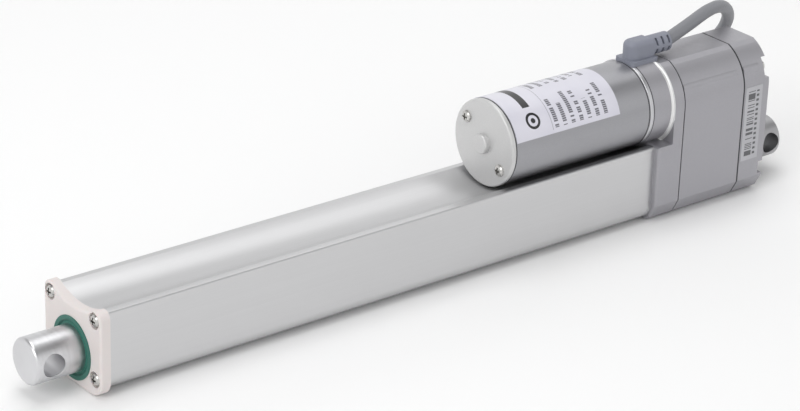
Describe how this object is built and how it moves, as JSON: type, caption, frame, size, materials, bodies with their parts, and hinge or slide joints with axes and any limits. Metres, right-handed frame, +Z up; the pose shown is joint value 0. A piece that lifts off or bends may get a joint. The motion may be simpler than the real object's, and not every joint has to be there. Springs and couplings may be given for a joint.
{
  "type": "linear actuator",
  "caption": "Electric linear actuator with a square aluminium tube, a round rod, a gearbox, a motor lying over the tube, a cross-drilled bar at each end, and a cable held in a hank by a tie.",
  "frame": {"origin": "centre of the rear clevis hole", "axes": "+X along the rod, the way it extends; +Z up from the tube towards the motor; +Y along the clevis holes"},
  "size_m": [0.4116, 0.089, 0.0871],
  "materials": {
    "tube_aluminium": "satin anodised extrusion",
    "cap_plastic": "matt moulded plastic",
    "zinc_steel": "zinc plated",
    "seal_rubber": "soft rubber",
    "bush_plastic": "smooth bearing plastic",
    "bearing_steel": "polished",
    "spring_steel": "oiled",
    "motor_steel": "satin grey coating",
    "bell_steel": "bright plated",
    "housing_paint": "silver-grey satin paint",
    "magnet_ferrite": "sintered",
    "board_plastic": "circuit board",
    "brush_carbon": "carbon",
    "label_film": "printed film",
    "gasket_rubber": "soft rubber",
    "clevis_aluminium": "machined",
    "cable_plastic": "matt moulded plastic",
    "cable_sheath": "matt sheath",
    "tie_plastic": "nylon strap",
    "lead_copper": "bare copper",
    "rod_steel": "polished",
    "screw_steel": "rolled",
    "gear_plastic": "moulded",
    "armature_steel": "laminated",
    "brass_pinion": "machined"
  },
  "bodies": {
    "housing": {"outer_tube": "tube_aluminium", "front_cap": "cap_plastic", "front_cap_screws": "zinc_steel", "rod_seal": "seal_rubber", "guide_bush": "bush_plastic", "bearing_outer_ring": "bearing_steel", "bearing_balls": "bearing_steel", "idler_shaft": "bearing_steel", "idler_circlip": "spring_steel", "motor_can": "motor_steel", "motor_end_bell": "bell_steel", "motor_screws": "zinc_steel", "motor_mount_bell": "bell_steel", "motor_collar": "housing_paint", "motor_magnets": "magnet_ferrite", "brush_plate": "board_plastic", "motor_brushes": "brush_carbon", "motor_label": "label_film", "front_housing": "housing_paint", "front_gasket": "gasket_rubber", "mid_housing": "housing_paint", "rear_gasket": "gasket_rubber", "rear_cover": "housing_paint", "rear_cover_screws": "zinc_steel", "rear_clevis": "clevis_aluminium", "barcode_label": "label_film", "limit_switch_strip": "board_plastic", "limit_switches": "board_plastic", "cable_plug": "cable_plastic", "power_cable": "cable_sheath", "cable_hank": "cable_sheath", "cable_tie": "tie_plastic", "cable_leads": "lead_copper"},
    "rod": {"rod_tube": "rod_steel", "rod_end": "clevis_aluminium", "drive_nut": "bush_plastic"},
    "spindle": {"lead_screw": "screw_steel", "screw_tip_bush": "bush_plastic", "spindle_gear": "gear_plastic", "spindle_nut": "zinc_steel", "bearing_inner_ring": "bearing_steel"},
    "idler": {"idler_gear": "gear_plastic"},
    "rotor": {"motor_armature": "armature_steel", "motor_pinion": "brass_pinion"}
  },
  "joints": [
    {"name": "motor_spin", "type": "hinge", "parent": "housing", "child": "rotor", "pos_m": [0.0475, 0, 0.0378], "axis": [-1, 0, 0], "range_deg": [0, 208928.57]},
    {"name": "idler_spin", "type": "hinge", "parent": "housing", "child": "idler", "pos_m": [0.0475, 0.00194, 0.01749], "axis": [-1, 0, 0], "range_deg": [-64306, 0]},
    {"name": "spindle_spin", "type": "hinge", "parent": "housing", "child": "spindle", "pos_m": [0.06, 0, 0], "axis": [-1, 0, 0], "range_deg": [0, 30020]},
    {"name": "rod_slide", "type": "slide", "parent": "housing", "child": "rod", "axis": [1, 0, 0], "range_m": [0, 0.2501]}
  ],
  "couplings": [
    {"joint": "idler_spin", "follows": "motor_spin", "ratio": -0.30769},
    {"joint": "spindle_spin", "follows": "motor_spin", "ratio": 0.14359},
    {"joint": "rod_slide", "follows": "motor_spin", "m_per_rad": 0.000068559}
  ]
}
